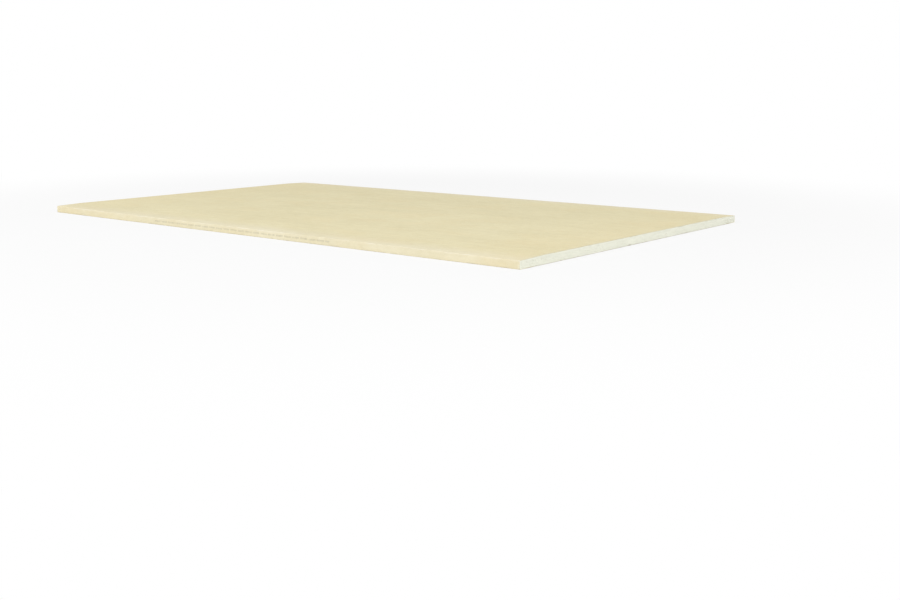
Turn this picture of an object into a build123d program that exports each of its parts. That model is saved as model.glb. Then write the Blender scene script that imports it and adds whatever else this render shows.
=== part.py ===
"""A drywall sheet: a small-format gypsum board with tapered long edges, lying face up.

The board runs along X, its width is along Y and its thickness along Z. The origin is the middle of
its back, at the level it rests on. A gypsum core is bound in two papers: the face paper covers the
face, wraps both long edges and turns under the back as a flap, and the back paper covers the rest of
the back and laps over those flaps. The two short ends are cut square and show the core.
"""

import os

from build123d import *

# Board, all sizes in millimetres
board_length = 1000.0
board_width = 600.0
board_thickness = 12.5

# Tapered long edges, sunk into the face side only
taper_width = 50.0
taper_depth = 1.2
taper_shoulder_radius = 300.0

# Long edges: square for their lower part, then leaning in to the face, with the paper's two folds
edge_square_height = 4.5
edge_lean = 0.4
face_fold_radius = 1.6
back_fold_radius = 1.1

# Papers
face_paper_thickness = 0.35
back_paper_thickness = 0.35

# Lap seam on the back, measured in from each long edge
bare_flap_width = 14.0
tucked_flap_width = 16.0
joggle_run = 1.5

half_length = board_length / 2
half_width = board_width / 2
back_paper_edge = half_width - bare_flap_width
flap_end = back_paper_edge - tucked_flap_width
tucked_flap_top = back_paper_thickness + face_paper_thickness


def both_sides(outline):
    """The points of one half of a section, then the same points mirrored to the other half."""
    return outline + [(-y, z) for y, z in reversed(outline)]


# Whole section of the board, drawn on the plane of its far end
end_plane = Plane.YZ.offset(-half_length)
face_shoulder = (half_width - taper_width, board_thickness)
face_fold = (half_width - edge_lean, board_thickness - taper_depth)
edge_break = (half_width, edge_square_height)
back_fold = (half_width, 0)

with BuildSketch(end_plane) as board_section:
    with BuildLine():
        Polyline(*both_sides([face_shoulder, face_fold, edge_break, back_fold]), close=True)
    make_face()
    fillet(board_section.vertices().group_by(Axis.Y)[-2], face_fold_radius)
    fillet(board_section.vertices().group_by(Axis.Y)[0], back_fold_radius)
    fillet(board_section.vertices().group_by(Axis.Y)[-1], taper_shoulder_radius)

# Face paper: a skin inside the board's outline, open along the back, with a flap tucked in each side
with BuildSketch(end_plane) as face_paper_section:
    add(board_section.sketch_local)
    offset(board_section.sketch_local, amount=-face_paper_thickness, mode=Mode.SUBTRACT)
    with Locations((0, face_paper_thickness / 2)):
        Rectangle(2 * back_paper_edge, face_paper_thickness, mode=Mode.SUBTRACT)
    for side in (1, -1):
        with BuildLine():
            Polyline(
                (side * (back_paper_edge + joggle_run), 0),
                (side * (back_paper_edge + joggle_run), face_paper_thickness),
                (side * back_paper_edge, tucked_flap_top),
                (side * flap_end, tucked_flap_top),
                (side * flap_end, back_paper_thickness),
                (side * back_paper_edge, back_paper_thickness),
                (side * back_paper_edge, 0),
                close=True,
            )
        make_face()

# Back paper: a flat sheet between the two bare flaps
with BuildSketch(end_plane) as back_paper_section:
    with Locations((0, back_paper_thickness / 2)):
        Rectangle(2 * back_paper_edge, back_paper_thickness)

with BuildPart() as face_paper:
    with BuildSketch(end_plane):
        add(face_paper_section.sketch_local)
    extrude(amount=board_length)

with BuildPart() as back_paper:
    with BuildSketch(end_plane):
        add(back_paper_section.sketch_local)
    extrude(amount=board_length)

# Gypsum core: all that the two papers leave of the board
with BuildPart() as gypsum_core:
    with BuildSketch(end_plane):
        add(board_section.sketch_local)
        add(face_paper_section.sketch_local, mode=Mode.SUBTRACT)
        add(back_paper_section.sketch_local, mode=Mode.SUBTRACT)
    extrude(amount=board_length)

os.makedirs("parts", exist_ok=True)
for name, piece in (
    ("gypsum_core", gypsum_core),
    ("face_paper", face_paper),
    ("back_paper", back_paper),
):
    piece.part.label = name
    export_step(piece.part, f"parts/{name}.step")
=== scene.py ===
"""The looks of a drywall sheet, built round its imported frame.

Three meshes stand for the three CAD nodes: the face paper with its folded long edges, the back paper
with its lap seams, and the gypsum core with its porous cut ends. Lengths are in metres, in the row
frame: X along the board, Y across it and Z out of its face.
"""

import math
import random

import bmesh
import bpy
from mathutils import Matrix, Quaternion, Vector, geometry, noise


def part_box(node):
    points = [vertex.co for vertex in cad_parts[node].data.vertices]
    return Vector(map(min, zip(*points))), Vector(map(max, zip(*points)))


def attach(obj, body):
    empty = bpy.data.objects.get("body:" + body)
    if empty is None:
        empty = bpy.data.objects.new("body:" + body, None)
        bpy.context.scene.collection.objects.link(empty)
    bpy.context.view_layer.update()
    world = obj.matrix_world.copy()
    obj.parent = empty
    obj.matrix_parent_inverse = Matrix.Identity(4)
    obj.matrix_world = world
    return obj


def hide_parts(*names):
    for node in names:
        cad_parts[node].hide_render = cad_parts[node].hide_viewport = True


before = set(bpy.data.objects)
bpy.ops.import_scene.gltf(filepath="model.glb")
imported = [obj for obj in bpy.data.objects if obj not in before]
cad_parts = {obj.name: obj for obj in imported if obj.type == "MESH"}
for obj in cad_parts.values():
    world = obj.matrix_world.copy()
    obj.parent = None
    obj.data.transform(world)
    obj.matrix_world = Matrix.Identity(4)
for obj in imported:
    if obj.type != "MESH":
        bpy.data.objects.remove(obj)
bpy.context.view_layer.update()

MM = 0.001

# Board, from the frame
half_length, half_width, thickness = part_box("face_paper")[1]
back_seam, back_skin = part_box("back_paper")[1].yz
core_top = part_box("gypsum_core")[1].z
face_skin = thickness - core_top

# Section of the long edges and of the lap on the back
taper_width = 50 * MM
taper_depth = 1.2 * MM
shoulder_radius = 300 * MM
edge_square_height = 4.5 * MM
edge_lean = 0.4 * MM
face_fold_radius = 1.6 * MM
back_fold_radius = 1.1 * MM
joggle_run = 1.5 * MM
tucked_flap_width = 16 * MM
flap_end = back_seam - tucked_flap_width
flap_top = back_skin + face_skin

# Mesh spacing
along_step = 10 * MM
across_step = 2.5 * MM
back_step = 5 * MM
fold_step = 0.6 * MM
fold_zone = 3 * MM
longest_fold_run = 12 * MM
arc_step = math.radians(15)
least_arc_steps = 3
end_steps = [0.0, 0.4 * MM, 1.0 * MM, 2.0 * MM, 3.5 * MM, 6.0 * MM]
sharp_angle = math.radians(38)

# Wear of the corners, the papers and the lap seam
corner_reach = 9 * MM
corner_crush = 0.7 * MM
corner_side_share = 0.6
corner_lump = 3 * MM
cut_raggedness = 0.25 * MM
paper_wave = 0.06 * MM
wave_squeeze = 0.3
face_wave, back_wave = 30 * MM, 25 * MM
edge_dent = 0.24 * MM
dent_reach = 4 * MM
seam_waver = 0.5 * MM
seam_wave = 40 * MM

# Wear of the core's cut ends
core_recess = 0.15 * MM
core_roughness = 0.22 * MM
chip_depth = 1.1 * MM
chip_reach = 1.6 * MM
chip_least, chip_gain = 0.28, 2.2

# Layers of noise: the size of the lumps, the weight and the seed of each
ragged_layers = ((4 * MM, 1.0, 2.0), (1.2 * MM, 0.6, 7.0))
knock_layers = ((22 * MM, 1.0, 8.0), (7 * MM, 0.5, 3.0))
chip_layers = ((9 * MM, 1.0, 4.0), (2.5 * MM, 0.5, 6.0))
grit_layers = ((1.6 * MM, 1.0, 11.0), (6 * MM, 0.5, 12.0))


def wobble(x, y, z, size, seed=0.0):
    """Smooth noise from -1 to 1 whose lumps are about size metres across."""
    return noise.noise(Vector((x / size + seed, y / size - seed, z / size + 0.37 * seed)))


def layered(x, y, z, layers):
    """Layers of noise added up, about 0."""
    return sum(weight * wobble(x, y, z, size, seed) for size, weight, seed in layers)


def held(value):
    """The value, held between 0 and 1."""
    return min(1.0, max(0.0, value))


def wave(x, y, z, size, seed=0.0):
    """Long shallow waves along the board, from 0 to 1."""
    return 0.5 + 0.5 * wobble(x * wave_squeeze, y, z, size, seed)


def crushed(x, y, z):
    """A point of the board after the knocks that its four corners have had."""
    from_end = half_length - abs(x)
    from_edge = half_width - abs(y)
    reach = math.hypot(from_end, from_edge) / corner_reach
    if reach >= 1:
        return (x, y, z)
    lump = 0.75 + 0.25 * wobble(x, y, z, corner_lump, 5.0)
    push = corner_crush * lump * (1 - reach) ** 2
    return (x - math.copysign(push, x), y - math.copysign(corner_side_share * push, y), z)


def make_object(name, points, faces, material):
    """A mesh object at the origin, smooth except at its sharp edges, with its faces turned outward."""
    mesh = bpy.data.meshes.new(name)
    mesh.from_pydata([crushed(*p) for p in points], [], faces)
    turned = bmesh.new()
    turned.from_mesh(mesh)
    bmesh.ops.recalc_face_normals(turned, faces=turned.faces)
    turned.to_mesh(mesh)
    turned.free()
    mesh.polygons.foreach_set("use_smooth", [True] * len(mesh.polygons))
    mesh.set_sharp_from_angle(angle=sharp_angle)
    mesh.materials.append(material)
    mesh.validate()
    made = bpy.data.objects.new(name, mesh)
    bpy.context.scene.collection.objects.link(made)
    return made


def store_values(mesh, name, domain, values):
    """One number for each FACE or POINT of a mesh, which its material reads by name."""
    mesh.attributes.new(name, "FLOAT", domain).data.foreach_set("value", values)


def joined(here, onward):
    """Four-sided faces between two closed rings of points, given by their numbers."""
    return [(a, b, d, c) for a, b, c, d in zip(here, here[1:] + here[:1], onward, onward[1:] + onward[:1])]


# Section of the board


def rounded(corners):
    """A path of (y, z) points through (y, z, radius) corners, with an arc at each radius."""
    path = [Vector(corners[0][:2])]
    for before, (y, z, radius), after in zip(corners, corners[1:], corners[2:]):
        corner = Vector((y, z))
        if radius == 0:
            path.append(corner)
            continue
        back = (Vector(before[:2]) - corner).normalized()
        on = (Vector(after[:2]) - corner).normalized()
        half_angle = back.angle(on) / 2
        centre = corner + (back + on).normalized() * radius / math.sin(half_angle)
        reach = radius / math.tan(half_angle)
        start = corner + back * reach - centre
        end = corner + on * reach - centre
        turn = math.pi - 2 * half_angle
        side = math.copysign(1, start.cross(end))
        steps = max(least_arc_steps, round(turn / arc_step))
        for k in range(steps + 1):
            angle = side * turn * k / steps
            c, s = math.cos(angle), math.sin(angle)
            path.append(centre + Vector((start.x * c - start.y * s, start.x * s + start.y * c)))
    path.append(Vector(corners[-1][:2]))
    return path


def spaced(path):
    """The same path with points added, so that none is far from the next."""
    full = [path[0]]
    for a, b in zip(path, path[1:]):
        run = (b - a).length
        near_fold = max(abs(a.x), abs(b.x)) > half_width - fold_zone and run < longest_fold_run
        count = max(1, math.ceil(run / (fold_step if near_fold else across_step)))
        full += [a.lerp(b, k / count) for k in range(1, count + 1)]
    return full


def wrap_section():
    """The outside of the face paper from flap to flap, and the point inside the paper for each."""
    corners = [
        (0, thickness, 0),
        (half_width - taper_width, thickness, shoulder_radius),
        (half_width - edge_lean, thickness - taper_depth, face_fold_radius),
        (half_width, edge_square_height, 0),
        (half_width, 0, back_fold_radius),
        (back_seam + joggle_run, 0, 0),
    ]
    half = spaced(rounded(corners))
    outside = [Vector((-p.x, p.y)) for p in reversed(half[1:])] + half
    inside = []
    for before, here, after in zip(outside[:1] + outside, outside, outside[1:] + outside[-1:]):
        way = (after - before).normalized()
        inside.append(here - Vector((-way.y, way.x)) * face_skin)
    joggle_and_flap = [
        ((back_seam, 0), (back_seam + joggle_run / 2, (face_skin + flap_top) / 2)),
        ((back_seam, back_skin), (back_seam, flap_top)),
        ((flap_end, back_skin), (flap_end, flap_top)),
    ]
    for out, into in joggle_and_flap:
        outside = [Vector((-out[0], out[1]))] + outside + [Vector(out)]
        inside = [Vector((-into[0], into[1]))] + inside + [Vector(into)]
    return outside, inside


def stations():
    """Places along X, close together near the two cut ends."""
    middle = half_length - end_steps[-1]
    count = math.ceil(2 * middle / along_step)
    inner = [-middle + 2 * middle * k / count for k in range(1, count)]
    low = [-half_length + step for step in end_steps]
    return low + inner + [-x for x in reversed(low)]


outside, inside = wrap_section()
places = stations()


# Papers


def cut_back(y, z, end):
    """How far the ragged cut of a paper stands back from the board's end."""
    return cut_raggedness * held(0.45 + 0.5 * layered(end, y, z, ragged_layers))


def build_paper(name, outer, inner, relief, material):
    """A ribbon of paper between two paths of the section, with relief on the outer one."""
    count = len(outer)
    loop = outer + inner[::-1]
    ring = len(loop)
    points = []
    for x in places:
        at_end = abs(x) == half_length
        for k, p in enumerate(loop):
            back = math.copysign(cut_back(p.x, p.y, x), x) if at_end else 0.0
            y, z = relief(k, x, p) if k < count else p
            points.append((x - back, y, z))
    rings = [list(range(start, start + ring)) for start in range(0, len(points), ring)]
    faces = [face for pair in zip(rings, rings[1:]) for face in joined(*pair)]
    sides = len(faces)
    for end in (rings[0], rings[-1]):
        faces += [(end[k], end[k + 1], end[ring - 2 - k], end[ring - 1 - k]) for k in range(count - 1)]
    made = make_object(name, points, faces, material)
    store_values(made.data, "cut", "FACE", [float(k >= sides) for k in range(len(faces))])
    return made


def build_face_paper(material):
    """The face paper: one ribbon round the board, open under the back."""

    def relief(k, x, p):
        dent = paper_wave * wave(x, p.x, p.y, face_wave)
        from_fold = math.hypot(half_width - abs(p.x), thickness - taper_depth - p.y) / dent_reach
        if from_fold < 1:
            knock = held(2 * layered(x, p.x, 0, knock_layers) - 0.5)
            dent += edge_dent * (1 - from_fold) * knock
        return p + (inside[k] - outside[k]).normalized() * dent

    return build_paper("paper_face", outside, inside, relief, material)


def build_back_paper(material):
    """The back paper: a flat sheet whose two long edges waver where they lap the flaps."""
    count = math.ceil(2 * back_seam / back_step)
    under = [Vector((-back_seam + 2 * back_seam * k / count, 0.0)) for k in range(count + 1)]
    over = [Vector((p.x, back_skin)) for p in under]

    def relief(k, x, p):
        y = p.x
        if k in (0, count):
            y -= math.copysign(seam_waver * (0.5 + 0.5 * wobble(x, p.x, 0, seam_wave, 3.0)), p.x)
        return y, paper_wave * wave(x, p.x, 0, back_wave, 9.0)

    return build_paper("paper_back", under, over, relief, material)


# Gypsum core

core_seed = 41
end_wall = half_width - face_skin - 2.2 * MM

# Open bubbles, as pits, where a higher rarity makes large ones fewer. Each ring of points round the
# middle of a pit has a share of its radius, a share of its depth and a number of points
pit_count = 1150
pit_small, pit_large = 0.16 * MM, 0.85 * MM
pit_rarity = 3
pit_least_depth = 0.25 * MM
pit_depth_to_radius = 0.75
pit_floor = 0.9
pit_rings = ((0.5, 0.75, 6), (0.9, 0.25, 8), (1.2, 0.0, 9))
pit_unevenness = 0.1
pit_margin = 1.5
pit_spacing = 1.35
bucket_size = 4 * MM
# The depth of a pit at which its painted shade is full
dark_depth = 0.5 * MM

# Grain between the pits
grain_step = 1.25 * MM
grain_margin = 0.35 * MM
grain_spacing = 1.3
grain_jitter_y, grain_jitter_z = 0.35, 0.2

# How the flat triangulation treats the outline: only its inside is filled
fill_inside = 1
merge_distance = 1e-7


def core_outline():
    """The core's section: inside the face paper, over the two flaps and along the back paper."""
    count = math.ceil(2 * flap_end / across_step)
    along_back = [Vector((flap_end - 2 * flap_end * k / count, back_skin)) for k in range(count + 1)]
    return inside + along_back


def within(y, margin):
    """Lowest and highest Z of the core at a given Y, less a margin."""
    low = back_skin if abs(y) + margin < flap_end else flap_top
    beyond = max(0.0, abs(y) - (half_width - taper_width))
    high = core_top - taper_depth * beyond / (taper_width - edge_lean)
    return low + margin, high - margin


def clear(y, z, radius, spacing, buckets):
    """Whether a spot is clear of every pit near it, where buckets hold the pits by their Y."""
    cell = round(y / bucket_size)
    near = [pit for step in (-1, 0, 1) for pit in buckets.get(cell + step, [])]
    return all(math.hypot(y - p[0], z - p[1]) > spacing * (radius + p[2]) for p in near)


def scatter_pits(rng, buckets):
    """Points of the pits of one cut end, as (y, z, depth), which also fills the buckets."""
    found = []
    pits = 0
    while pits < pit_count:
        y = rng.uniform(-end_wall, end_wall)
        radius = pit_small + (pit_large - pit_small) * rng.random() ** pit_rarity
        z = rng.uniform(*within(y, pit_margin * radius + grain_margin))
        if not clear(y, z, radius, pit_spacing, buckets):
            continue
        pits += 1
        buckets.setdefault(round(y / bucket_size), []).append((y, z, radius))
        depth = pit_least_depth + pit_depth_to_radius * radius
        found.append((y, z, pit_floor * depth))
        for share, deep, number in pit_rings:
            start = rng.random()
            for k in range(number):
                angle = 2 * math.pi * (k + start) / number
                stretch = radius * share * rng.uniform(1 - pit_unevenness, 1 + pit_unevenness)
                found.append((y + stretch * math.cos(angle), z + stretch * math.sin(angle), deep * depth))
    return found


def scatter_grains(rng, buckets):
    """Points of the plaster between the pits of one cut end, as (y, z, 0)."""
    found = []
    columns = round(2 * end_wall / grain_step)
    rows = round(core_top / grain_step)
    for i in range(columns + 1):
        for k in range(rows + 1):
            shift = grain_step * rng.uniform(-grain_jitter_y, grain_jitter_y)
            y = -end_wall + 2 * end_wall * i / columns + shift
            low, high = within(y, grain_margin)
            z = low + (high - low) * k / rows + grain_step * rng.uniform(-grain_jitter_z, grain_jitter_z)
            z = min(high, max(low, z))
            if clear(y, z, 0.0, grain_spacing, buckets):
                found.append((y, z, 0.0))
    return found


def chip(y, z, end):
    """How deep the core has crumbled behind the edge of a paper, from 0 to 1."""
    low, high = within(y, 0)
    from_skin = max(0.0, min(high - z, z - low))
    fade = max(0.0, 1 - from_skin / chip_reach)
    side = 1 if high - z < z - low else -1
    return fade * held(chip_gain * (layered(end, y, side, chip_layers) - chip_least))


def end_depth(y, z, pit, end):
    """How far a point of the cut end lies back from the board's end."""
    grit = held(0.45 + 0.5 * layered(end, y, z, grit_layers))
    return core_recess + core_roughness * grit + pit + chip_depth * chip(y, z, end)


def cut_end(end, outline):
    """One cut end of the core: its points, the painted shade of each in pits and chips, its triangles and
    its rim.
    """
    ring = len(outline)
    rng = random.Random(core_seed + (end > 0))
    buckets = {}
    grains = scatter_pits(rng, buckets) + scatter_grains(rng, buckets)
    flat = outline + [Vector((y, z)) for y, z, _ in grains]
    depths = [0.0] * ring + [depth for _, _, depth in grains]
    found, _, triangles, sources, _, _ = geometry.delaunay_2d_cdt(
        flat, [], [list(range(ring))], fill_inside, merge_distance
    )
    points = []
    recess_shade = []
    place_of = {}
    for k, p in enumerate(found):
        source = sources[k][0]
        place_of[source] = k
        pit = depths[source]
        points.append((end - math.copysign(end_depth(p.x, p.y, pit, end), end), p.x, p.y))
        # Painted shade: darker the deeper a pit goes, up to dark_depth, and in the crumbled chips
        recess_shade.append(max(min(1.0, pit / dark_depth), chip(p.x, p.y, end)))
    return points, recess_shade, triangles, [place_of[k] for k in range(ring)]


def build_core(material):
    """The gypsum core: two rough cut ends joined by the sides that the papers hide."""
    outline = core_outline()
    points = []
    recess_shade = []
    faces = []
    rims = []
    for end in (-half_length, half_length):
        start = len(points)
        end_points, end_recess_shade, triangles, rim = cut_end(end, outline)
        points += end_points
        recess_shade += end_recess_shade
        faces += [tuple(start + k for k in triangle) for triangle in triangles]
        rims.append([start + k for k in rim])
    plain = []
    for x in (corner_reach - half_length, half_length - corner_reach):
        plain.append(list(range(len(points), len(points) + len(outline))))
        points += [(x, p.x, p.y) for p in outline]
        recess_shade += [0.0] * len(outline)
    rings = [rims[0], *plain, rims[1]]
    for pair in zip(rings, rings[1:]):
        faces += joined(*pair)
    made = make_object("core_gypsum", points, faces, material)
    store_values(made.data, "recess_shade", "POINT", recess_shade)
    return made


# Materials

# The colour sockets of a Mix node, by number, because other sockets of it have the same names
mix_first, mix_second, mix_result = 6, 7, 2

# Soft rims: the rise of noise across a fibre's rim, and the share of a speck inside its rim
hair_softness = 0.06
speck_core = 0.5


def screen(red, green, blue):
    """A colour by its screen values from 0 to 255, as the linear colour that a shader takes."""
    shares = [c / 255 for c in (red, green, blue)]
    return tuple(c / 12.92 if c < 0.04045 else ((c + 0.055) / 1.055) ** 2.4 for c in shares) + (1.0,)


class Paint:
    """A material's node tree, with a short call for each kind of node used here."""

    def __init__(self, name, roughness, specular):
        self.material = bpy.data.materials.new(name)
        self.material.use_nodes = True
        self.tree = self.material.node_tree
        self.shader = self.tree.nodes["Principled BSDF"]
        self.shader.inputs["Roughness"].default_value = roughness
        self.shader.inputs["Specular IOR Level"].default_value = specular
        self.place = self.tree.nodes.new("ShaderNodeTexCoord").outputs["Object"]

    def put(self, value, socket):
        """Links an output to a socket, or sets the socket to a plain value."""
        if isinstance(value, bpy.types.NodeSocket):
            self.tree.links.new(value, socket)
        else:
            socket.default_value = value

    def stretch(self, x, y, z, turn=0.0):
        """The place on the board in lumps that are x, y and z metres long, turned about Z."""
        node = self.tree.nodes.new("ShaderNodeMapping")
        node.vector_type = "TEXTURE"
        self.put(self.place, node.inputs["Vector"])
        node.inputs["Rotation"].default_value = (0, 0, math.radians(turn))
        node.inputs["Scale"].default_value = (x, y, z)
        return node.outputs["Vector"]

    def lumps(self, x, y, z, detail=2.0, roughness=0.5, turn=0.0):
        """Noise about 0.5, in lumps that are x, y and z metres long, turned about Z."""
        node = self.tree.nodes.new("ShaderNodeTexNoise")
        self.put(self.stretch(x, y, z, turn), node.inputs["Vector"])
        node.inputs["Scale"].default_value = 1.0
        node.inputs["Detail"].default_value = detail
        node.inputs["Roughness"].default_value = roughness
        return node.outputs["Fac"]

    def calc(self, operation, first, second=0.0, third=0.0):
        """One step of arithmetic."""
        node = self.tree.nodes.new("ShaderNodeMath")
        node.operation = operation
        for value, socket in zip((first, second, third), node.inputs):
            self.put(value, socket)
        return node.outputs[0]

    def times(self, first, second):
        """One value times another."""
        return self.calc("MULTIPLY", first, second)

    def inward(self, half, value):
        """How far a coordinate is from the nearer of the board's two ends or edges, at half and -half."""
        return self.calc("SUBTRACT", half, self.calc("ABSOLUTE", value))

    def ease(self, value, low, high, to_low=0.0, to_high=1.0):
        """The value eased from low and high to two new limits, and held there beyond them."""
        node = self.tree.nodes.new("ShaderNodeMapRange")
        node.interpolation_type = "SMOOTHSTEP"
        for item, socket in zip((value, low, high, to_low, to_high), node.inputs):
            self.put(item, socket)
        return node.outputs["Result"]

    def mix(self, share, first, second):
        """Two colours mixed."""
        node = self.tree.nodes.new("ShaderNodeMix")
        node.data_type = "RGBA"
        self.put(share, node.inputs["Factor"])
        self.put(first, node.inputs[mix_first])
        self.put(second, node.inputs[mix_second])
        return node.outputs[mix_result]

    def over(self, colour, mask, strength, tone):
        """The colour with a tone laid over it where the mask is 1, as strongly as strength says."""
        return self.mix(self.times(mask, strength), colour, tone)

    def split(self, vector):
        """The X, Y and Z of a vector."""
        node = self.tree.nodes.new("ShaderNodeSeparateXYZ")
        self.put(vector, node.inputs[0])
        return node.outputs

    def read(self, name):
        """A number that the mesh holds under this name."""
        node = self.tree.nodes.new("ShaderNodeAttribute")
        node.attribute_name = name
        return node.outputs["Fac"]

    def weighted(self, *terms):
        """Weighted noises about 0.5 added to a middle of 0.5."""
        total = 0.5
        for weight, value in terms:
            away = self.calc("SUBTRACT", value, 0.5)
            total = self.calc("MULTIPLY_ADD", away, weight, total)
        return total

    def fibres(self, length, width, turns, least):
        """Short hairs in several directions: 1 on a hair and 0 beside it."""
        total = 0.0
        for turn in turns:
            hair = self.lumps(length, width, width, detail=1.0, turn=turn)
            total = self.calc("MAXIMUM", total, self.ease(hair, least, least + hair_softness))
        return total

    def flecks(self, spacing, size, share):
        """Scattered round specks: 1 on a speck and 0 beside it."""
        node = self.tree.nodes.new("ShaderNodeTexVoronoi")
        self.put(self.stretch(spacing, spacing, spacing), node.inputs["Vector"])
        node.inputs["Scale"].default_value = 1.0
        chosen = self.calc("LESS_THAN", self.split(node.outputs["Color"])[0], share)
        dot = self.ease(node.outputs["Distance"], size / spacing, speck_core * size / spacing)
        return self.times(chosen, dot)

    def colour(self, value):
        """Sets the base colour."""
        self.put(value, self.shader.inputs["Base Color"])

    def rough(self, value):
        """Sets the roughness."""
        self.put(value, self.shader.inputs["Roughness"])

    def bump(self, height, depth):
        """Raises the surface by height times depth metres."""
        node = self.tree.nodes.new("ShaderNodeBump")
        node.inputs["Distance"].default_value = depth
        self.put(height, node.inputs["Height"])
        self.put(node.outputs["Normal"], self.shader.inputs["Normal"])


# Generic marks on the near long edge, in even groups
mark_pitch = 2.1 * MM
mark_share = 0.6
marks_in_group = 8
mark_group = marks_in_group * mark_pitch
marks_start, marks_end = -13 * mark_group, 10.5 * mark_group
marks_low, marks_high = 4.8 * MM, 7.4 * MM
marks_depth = 1.0 * MM


def edge_marks(paint):
    """A faint row of plain upright ticks along the near long edge: 1 on a tick."""
    x, y, z = paint.split(paint.place)
    here = paint.calc("LESS_THAN", y, marks_depth - half_width)
    for value, low, high in ((x, marks_start, marks_end), (z, marks_low, marks_high)):
        here = paint.times(here, paint.calc("GREATER_THAN", value, low))
        here = paint.times(here, paint.calc("LESS_THAN", value, high))
    for pitch, share in ((mark_pitch, mark_share), (mark_group, 1 - 1 / marks_in_group)):
        step = paint.calc("DIVIDE", x, pitch)
        part = paint.calc("SUBTRACT", step, paint.calc("FLOOR", step))
        here = paint.times(here, paint.calc("LESS_THAN", part, share))
    worn = paint.lumps(6 * MM, 6 * MM, 3 * MM, detail=3.0)
    return paint.times(here, paint.ease(worn, 0.3, 0.62, 0.25, 1.0))


def along_folds(paint):
    """How near a place is to the face fold and to the back fold of a long edge, each from 0 to 1."""
    _, y, z = paint.split(paint.place)
    from_edge = paint.inward(half_width, y)
    nears = []
    for level, reach in ((thickness - taper_depth, 2.4 * MM), (0.0, 1.8 * MM)):
        above = paint.calc("SUBTRACT", z, level)
        squares = paint.calc("MULTIPLY_ADD", above, above, paint.calc("POWER", from_edge, 2))
        nears.append(paint.ease(paint.calc("SQRT", squares), reach, 0.3 * reach))
    return nears


def face_paper_material():
    """Smooth ivory paper: cloudy fibre, faint lengthwise streaks, tiny flecks and dusty cut ends."""
    paint = Paint("ivory_paper", roughness=0.8, specular=0.08)
    x, y, _ = paint.split(paint.place)
    from_edge = paint.inward(half_width, y)
    from_end = paint.inward(half_length, x)

    # Cloudy pulp, paler towards the long edges by a painted highlight on the tapers
    cloud = paint.lumps(110 * MM, 80 * MM, 80 * MM, detail=3.0)
    mottle = paint.lumps(13 * MM, 9 * MM, 9 * MM, detail=3.0, roughness=0.6)
    streak = paint.lumps(180 * MM, 2.6 * MM, 2.6 * MM)
    band = paint.lumps(700 * MM, 22 * MM, 22 * MM)
    pulp = paint.lumps(2.6 * MM, 1.3 * MM, 1.3 * MM, detail=4.0, roughness=0.7)
    tone = paint.weighted((0.65, cloud), (0.85, mottle), (0.35, streak), (0.35, band), (0.6, pulp))
    # Painted highlight: the colour pales over the taper and the long edge, where the taper catches the
    # light
    taper_highlight = paint.ease(from_edge, taper_width, 0.0)
    darker = paint.mix(taper_highlight, screen(223, 212, 170), screen(227, 217, 181))
    lighter = paint.mix(taper_highlight, screen(242, 233, 195), screen(244, 236, 208))
    colour = paint.mix(tone, darker, lighter)

    # A warmer tint, in patches and towards the cut ends
    patches = paint.ease(paint.lumps(75 * MM, 45 * MM, 45 * MM), 0.45, 0.72)
    near_end = paint.ease(from_end, 190 * MM, 0.0, 0.0, 0.13)
    warm = paint.calc("MULTIPLY_ADD", patches, 0.14, near_end)
    colour = paint.mix(warm, colour, screen(238, 217, 165))

    # Fibres and specks of the pulp
    pale_hairs = paint.fibres(4.5 * MM, 0.2 * MM, turns=(4, -23, 31, 78), least=0.64)
    dark_hairs = paint.fibres(3.2 * MM, 0.18 * MM, turns=(-9, 47, -64), least=0.68)
    specks = paint.flecks(spacing=9 * MM, size=0.35 * MM, share=0.35)
    colour = paint.over(colour, pale_hairs, 0.35, screen(252, 247, 230))
    colour = paint.over(colour, dark_hairs, 0.2, screen(196, 178, 134))
    colour = paint.over(colour, specks, 0.45, screen(150, 132, 98))

    # Marks and rubbed folds
    face_fold, back_fold = along_folds(paint)
    rub = paint.ease(paint.lumps(34 * MM, 3 * MM, 3 * MM, detail=4.0, roughness=0.7), 0.45, 0.66)
    colour = paint.over(colour, edge_marks(paint), 0.4, screen(140, 136, 120))
    colour = paint.over(colour, paint.times(rub, face_fold), 0.45, screen(250, 246, 232))
    colour = paint.over(colour, paint.times(rub, back_fold), 0.5, screen(196, 184, 154))

    # Plaster dust near the cut ends, and the bare pulp of the cut itself
    powder = paint.lumps(5 * MM, 2.5 * MM, 2.5 * MM, detail=4.0, roughness=0.7)
    dust = paint.times(paint.ease(from_end, 5 * MM, 0.0), paint.ease(powder, 0.42, 0.66))
    colour = paint.over(colour, dust, 0.7, screen(240, 240, 226))
    colour = paint.mix(paint.read("cut"), colour, screen(205, 194, 160))

    paint.colour(colour)
    paint.rough(paint.ease(paint.weighted((1.0, streak), (0.8, pulp)), 0.2, 0.8, 0.72, 0.88))
    height = paint.calc("MULTIPLY_ADD", pale_hairs, 0.4, pulp)
    height = paint.calc("MULTIPLY_ADD", rub, paint.times(face_fold, 0.6), height)
    paint.bump(height, 0.05 * MM)
    return paint.material


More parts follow.
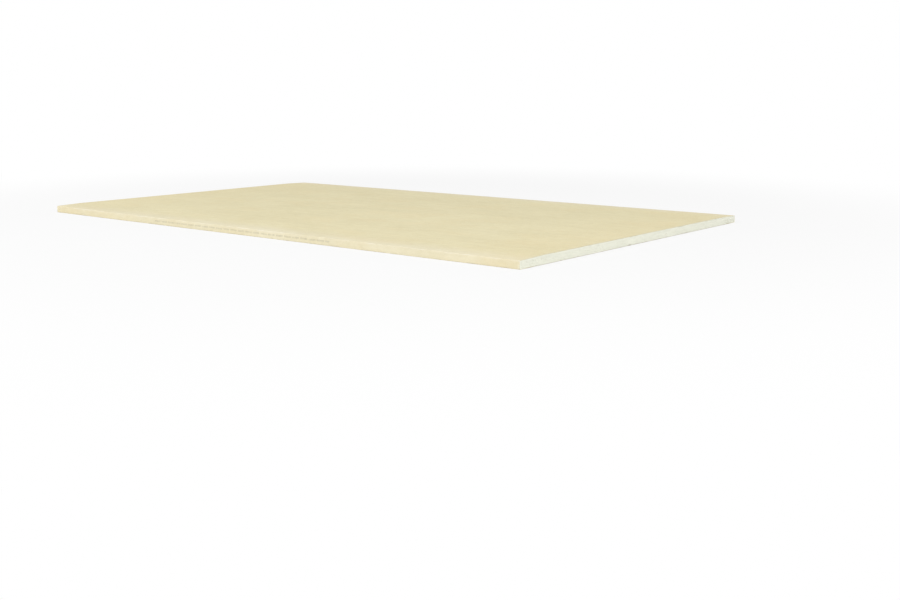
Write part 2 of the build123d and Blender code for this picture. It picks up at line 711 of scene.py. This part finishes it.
def back_paper_material():
    """Grey-brown paper of mixed recycled fibre."""
    paint = Paint("grey_liner", roughness=0.85, specular=0.25)
    cloud = paint.lumps(60 * MM, 35 * MM, 35 * MM, detail=4.0, roughness=0.6)
    pulp = paint.lumps(3 * MM, 0.8 * MM, 0.8 * MM, detail=4.0, roughness=0.7)
    streak = paint.lumps(300 * MM, 5 * MM, 5 * MM)
    tone = paint.weighted((0.9, cloud), (0.9, pulp), (0.5, streak))
    colour = paint.mix(tone, screen(163, 152, 132), screen(196, 187, 168))
    dark_hairs = paint.fibres(3 * MM, 0.22 * MM, turns=(10, -35, 64), least=0.66)
    pale_hairs = paint.fibres(4 * MM, 0.25 * MM, turns=(-12, 40, 88), least=0.67)
    specks = paint.flecks(spacing=6 * MM, size=0.4 * MM, share=0.5)
    colour = paint.over(colour, dark_hairs, 0.4, screen(120, 104, 84))
    colour = paint.over(colour, pale_hairs, 0.45, screen(216, 209, 193))
    colour = paint.over(colour, specks, 0.6, screen(92, 80, 68))
    colour = paint.mix(paint.read("cut"), colour, screen(178, 168, 148))
    paint.colour(colour)
    paint.bump(paint.calc("ADD", pulp, paint.times(pale_hairs, 0.5)), 0.06 * MM)
    return paint.material


def gypsum_material():
    """Chalky plaster: off-white with a hint of green, with painted shade in its pores, pits and freshly
    chipped edges.
    """
    paint = Paint("plaster", roughness=0.92, specular=0.2)
    cloud = paint.lumps(45 * MM, 45 * MM, 14 * MM, detail=3.0)
    layer = paint.lumps(60 * MM, 70 * MM, 1.6 * MM)
    grain = paint.lumps(0.9 * MM, 0.9 * MM, 0.9 * MM, detail=5.0, roughness=0.8)
    tone = paint.weighted((0.7, cloud), (0.5, layer), (1.5, grain))
    colour = paint.mix(tone, screen(224, 225, 209), screen(245, 245, 231))
    # Pinholes: dark specks of painted shade in the pores, and dips in the bump
    pinholes = paint.flecks(spacing=1.05 * MM, size=0.2 * MM, share=0.55)
    colour = paint.over(colour, pinholes, 0.4, screen(176, 176, 156))
    # Painted shade in the pits and chipped hollows of the cut ends
    colour = paint.over(colour, paint.read("recess_shade"), 0.4, screen(190, 190, 170))
    paint.colour(colour)
    paint.bump(paint.calc("SUBTRACT", grain, paint.times(pinholes, 0.6)), 0.35 * MM)
    return paint.material


core = build_core(gypsum_material())
face = build_face_paper(face_paper_material())
back = build_back_paper(back_paper_material())

for piece, node in ((core, "gypsum_core"), (face, "face_paper"), (back, "back_paper")):
    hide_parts(node)
    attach(piece, "root")


# Stage, lights and camera

floor_half = 30.0
floor_tone = 0.9
world_level = 0.51

# How much of the floor is plain white to the camera, near the board and far from it
plain_near, plain_far = 0.74, 1.0
plain_from, plain_to = 0.6, 1.3

# Softboxes round the board: name, place, aim, size and watts
softboxes = (
    ("key", (3.0, -0.8, 1.6), (0.2, 0, 0), 1.6, 42),
    ("fill", (-0.6, -2.2, 1.7), (0.0, -0.1, 0), 1.6, 28),
    ("left", (-2.6, 0.2, 0.45), (-0.4, 0, 0), 0.8, 12),
    ("rear", (0.6, 2.6, 0.45), (0.1, 0.3, 0), 0.8, 12),
)


def shown_share(tree):
    """1 for rays from the camera, through glass or off a gloss, and 0 for the light on the object."""
    path = tree.nodes.new("ShaderNodeLightPath")
    share = path.outputs["Is Camera Ray"]
    for name in ("Is Glossy Ray", "Is Transmission Ray"):
        step = tree.nodes.new("ShaderNodeMath")
        step.operation = "MAXIMUM"
        tree.links.new(share, step.inputs[0])
        tree.links.new(path.outputs[name], step.inputs[1])
        share = step.outputs[0]
    return share


def build_floor():
    """A plain white floor, which shows white and still takes the board's shadow."""
    mesh = bpy.data.meshes.new("floor")
    corners = [(x * floor_half, y * floor_half, 0) for x, y in ((-1, -1), (1, -1), (1, 1), (-1, 1))]
    mesh.from_pydata(corners, [], [(0, 1, 2, 3)])
    floor = bpy.data.objects.new("floor", mesh)
    bpy.context.scene.collection.objects.link(floor)
    paint = Paint("white_floor", roughness=0.9, specular=0.0)
    paint.colour((floor_tone, floor_tone, floor_tone, 1))
    away = paint.tree.nodes.new("ShaderNodeVectorMath")
    away.operation = "LENGTH"
    paint.put(paint.place, away.inputs[0])
    plain = paint.ease(away.outputs["Value"], plain_from, plain_to, plain_near, plain_far)
    share = paint.times(plain, shown_share(paint.tree))
    white = paint.tree.nodes.new("ShaderNodeEmission")
    blend = paint.tree.nodes.new("ShaderNodeMixShader")
    for value, socket in zip((share, paint.shader.outputs[0], white.outputs[0]), blend.inputs):
        paint.put(value, socket)
    paint.put(blend.outputs[0], paint.tree.nodes["Material Output"].inputs["Surface"])
    mesh.materials.append(paint.material)


def build_world():
    """An even white surround: plain white where it shows, dimmer where it lights."""
    world = bpy.data.worlds.new("surround")
    world.use_nodes = True
    bpy.context.scene.world = world
    tree = world.node_tree
    level = tree.nodes.new("ShaderNodeMapRange")
    tree.links.new(shown_share(tree), level.inputs["Value"])
    level.inputs["To Min"].default_value = world_level
    level.inputs["To Max"].default_value = 1.0
    background = tree.nodes["Background"]
    background.inputs["Color"].default_value = (1, 1, 1, 1)
    tree.links.new(level.outputs["Result"], background.inputs["Strength"])


def softbox(name, place, aim, size, watts):
    """A square lamp at a place, turned to an aim, which the camera doesn't see."""
    data = bpy.data.lights.new(name, "AREA")
    data.size = size
    data.energy = watts
    lamp = bpy.data.objects.new(name, data)
    lamp.location = place
    lamp.visible_camera = False
    lamp.rotation_mode = "QUATERNION"
    lamp.rotation_quaternion = (Vector(aim) - Vector(place)).to_track_quat("-Z", "Y")
    bpy.context.scene.collection.objects.link(lamp)


# Camera as solved from the photograph's perspective, with its turns in degrees
photo_width_px = 900
focal_length_px = 1115.7
sensor_width_mm = 36.0
camera_place = (1.27275, -1.38889, 0.22158)
camera_azimuth = 38.99
camera_drop = 10.98
camera_roll = -0.107


def build_camera():
    """The camera where the photograph's perspective puts it."""
    data = bpy.data.cameras.new("camera")
    data.sensor_width = sensor_width_mm
    data.lens = sensor_width_mm * focal_length_px / photo_width_px
    camera = bpy.data.objects.new("camera", data)
    camera.location = camera_place
    turn, drop = math.radians(camera_azimuth), math.radians(camera_drop)
    ahead = Vector((-math.sin(turn) * math.cos(drop), math.cos(turn) * math.cos(drop), -math.sin(drop)))
    roll = Quaternion((0, 0, 1), math.radians(camera_roll))
    camera.rotation_mode = "QUATERNION"
    camera.rotation_quaternion = ahead.to_track_quat("-Z", "Y") @ roll
    bpy.context.scene.collection.objects.link(camera)
    bpy.context.scene.camera = camera


build_floor()
build_world()
for lamp in softboxes:
    softbox(*lamp)
build_camera()
bpy.context.scene.view_settings.view_transform = "Standard"
